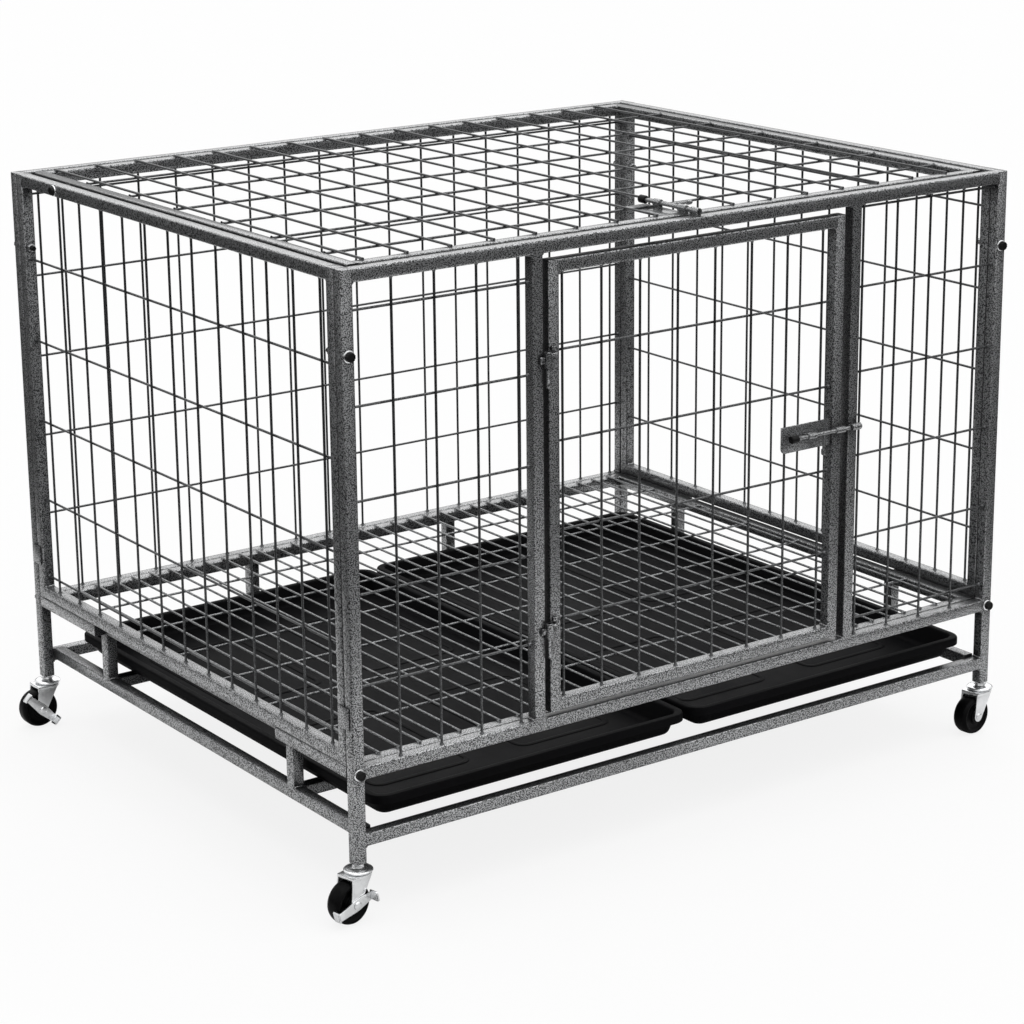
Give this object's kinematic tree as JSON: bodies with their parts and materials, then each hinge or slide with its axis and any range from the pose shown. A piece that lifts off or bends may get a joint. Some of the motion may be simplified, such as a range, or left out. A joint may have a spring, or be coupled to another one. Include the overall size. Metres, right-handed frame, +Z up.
{
  "type": "heavy duty dog crate",
  "caption": "Large tube and wire dog crate on swivel casters with a hinged front door, a tilting top lid, slide bolts and pull-out waste trays under a wire floor.",
  "frame": {"origin": "on the ground under the middle of the crate", "axes": "+X along the crate's width to the latch side, +Y from the door to the rear, +Z up"},
  "size_m": [1.0448, 0.8201, 0.7511],
  "materials": {
    "frame_coat": "hammertone grey powder coat",
    "wire_coat": "dark hammertone powder coat",
    "latch_coat": "speckled grey coat on steel rod",
    "tray_plastic": "matte black with a faint sheen",
    "knob_black": "black",
    "insert_plastic": "black",
    "zinc": "bright zinc plate",
    "wheel_black": "matte black"
  },
  "bodies": {
    "crate_body": {"front_frame": "frame_coat", "front_mesh_left": "wire_coat", "front_mesh_right": "wire_coat", "rear_frame": "frame_coat", "rear_mesh": "wire_coat", "left_frame": "frame_coat", "left_mesh": "wire_coat", "right_frame": "frame_coat", "right_mesh": "wire_coat", "corner_tabs": "frame_coat", "floor_frame": "frame_coat", "floor_grid": "wire_coat", "tray_rack": "frame_coat", "hinge_barrels": "frame_coat", "door_keeper": "latch_coat", "lid_keeper": "latch_coat", "lid_pivot_screws": "knob_black", "lid_pivot_spacers": "zinc", "thumb_knobs": "knob_black", "thumb_shanks": "zinc", "thumb_washers": "zinc", "thumb_nuts": "zinc", "leg_inserts": "insert_plastic", "caster_stems": "zinc"},
    "door_body": {"door_frame": "frame_coat", "door_mesh": "wire_coat", "door_latch_plate": "frame_coat", "door_bolt_guides": "latch_coat", "door_hinge_pins": "frame_coat"},
    "door_bolt_body": {"door_bolt": "latch_coat"},
    "lid_body": {"lid_frame": "frame_coat", "lid_mesh": "wire_coat", "lid_latch_plate": "frame_coat", "lid_bolt_guides": "latch_coat"},
    "lid_bolt_body": {"lid_bolt": "latch_coat"},
    "tray_left_body": {"tray_left": "tray_plastic"},
    "tray_right_body": {"tray_right": "tray_plastic"},
    "swivel_front_left_body": {"fork_front_left": "zinc", "axle_front_left": "zinc"},
    "wheel_front_left_body": {"wheel_front_left": "wheel_black"},
    "pedal_front_left_body": {"pedal_front_left": "zinc"},
    "swivel_front_right_body": {"fork_front_right": "zinc", "axle_front_right": "zinc"},
    "wheel_front_right_body": {"wheel_front_right": "wheel_black"},
    "swivel_rear_left_body": {"fork_rear_left": "zinc", "axle_rear_left": "zinc"},
    "wheel_rear_left_body": {"wheel_rear_left": "wheel_black"},
    "pedal_rear_left_body": {"pedal_rear_left": "zinc"},
    "swivel_rear_right_body": {"fork_rear_right": "zinc", "axle_rear_right": "zinc"},
    "wheel_rear_right_body": {"wheel_rear_right": "wheel_black"}
  },
  "joints": [
    {"name": "door_hinge", "type": "hinge", "parent": "crate_body", "child": "door_body", "pos_m": [-0.2235, -0.392, 0.471], "axis": [0, 0, -1], "range_deg": [0, 160]},
    {"name": "door_bolt_slide", "type": "slide", "parent": "door_body", "child": "door_bolt_body", "axis": [1, 0, 0], "range_m": [0, 0.0155]},
    {"name": "lid_hinge", "type": "hinge", "parent": "crate_body", "child": "lid_body", "pos_m": [0, 0.27, 0.733], "axis": [-1, 0, 0], "range_deg": [0, 160]},
    {"name": "lid_bolt_slide", "type": "slide", "parent": "lid_body", "child": "lid_bolt_body", "axis": [0, -1, 0], "range_m": [0, 0.0155]},
    {"name": "tray_left_slide", "type": "slide", "parent": "crate_body", "child": "tray_left_body", "axis": [0, -1, 0], "range_m": [0, 0.55]},
    {"name": "tray_right_slide", "type": "slide", "parent": "crate_body", "child": "tray_right_body", "axis": [0, -1, 0], "range_m": [0, 0.55]},
    {"name": "swivel_front_left", "type": "hinge", "parent": "crate_body", "child": "swivel_front_left_body", "pos_m": [-0.4825, -0.3815, 0.054], "axis": [0, 0, 1], "continuous": true},
    {"name": "spin_front_left", "type": "hinge", "parent": "swivel_front_left_body", "child": "wheel_front_left_body", "pos_m": [-0.49826, -0.38428, 0.025], "axis": [0.1736, -0.9848, 0], "continuous": true},
    {"name": "brake_front_left", "type": "hinge", "parent": "swivel_front_left_body", "child": "pedal_front_left_body", "pos_m": [-0.49826, -0.38428, 0.025], "axis": [-0.1736, 0.9848, 0], "range_deg": [0, 60]},
    {"name": "swivel_front_right", "type": "hinge", "parent": "crate_body", "child": "swivel_front_right_body", "pos_m": [0.4825, -0.3815, 0.054], "axis": [0, 0, 1], "continuous": true},
    {"name": "spin_front_right", "type": "hinge", "parent": "swivel_front_right_body", "child": "wheel_front_right_body", "pos_m": [0.46659, -0.38317, 0.025], "axis": [0.1045, -0.9945, 0], "continuous": true},
    {"name": "swivel_rear_left", "type": "hinge", "parent": "crate_body", "child": "swivel_rear_left_body", "pos_m": [-0.4825, 0.3815, 0.054], "axis": [0, 0, 1], "continuous": true},
    {"name": "spin_rear_left", "type": "hinge", "parent": "swivel_rear_left_body", "child": "wheel_rear_left_body", "pos_m": [-0.4985, 0.3815, 0.025], "axis": [0, -1, 0], "continuous": true},
    {"name": "brake_rear_left", "type": "hinge", "parent": "swivel_rear_left_body", "child": "pedal_rear_left_body", "pos_m": [-0.4985, 0.3815, 0.025], "axis": [0, -1, 0], "range_deg": [0, 60]},
    {"name": "swivel_rear_right", "type": "hinge", "parent": "crate_body", "child": "swivel_rear_right_body", "pos_m": [0.4825, 0.3815, 0.054], "axis": [0, 0, 1], "continuous": true},
    {"name": "spin_rear_right", "type": "hinge", "parent": "swivel_rear_right_body", "child": "wheel_rear_right_body", "pos_m": [0.49476, 0.39178, 0.025], "axis": [-0.6428, 0.766, 0], "continuous": true}
  ]
}
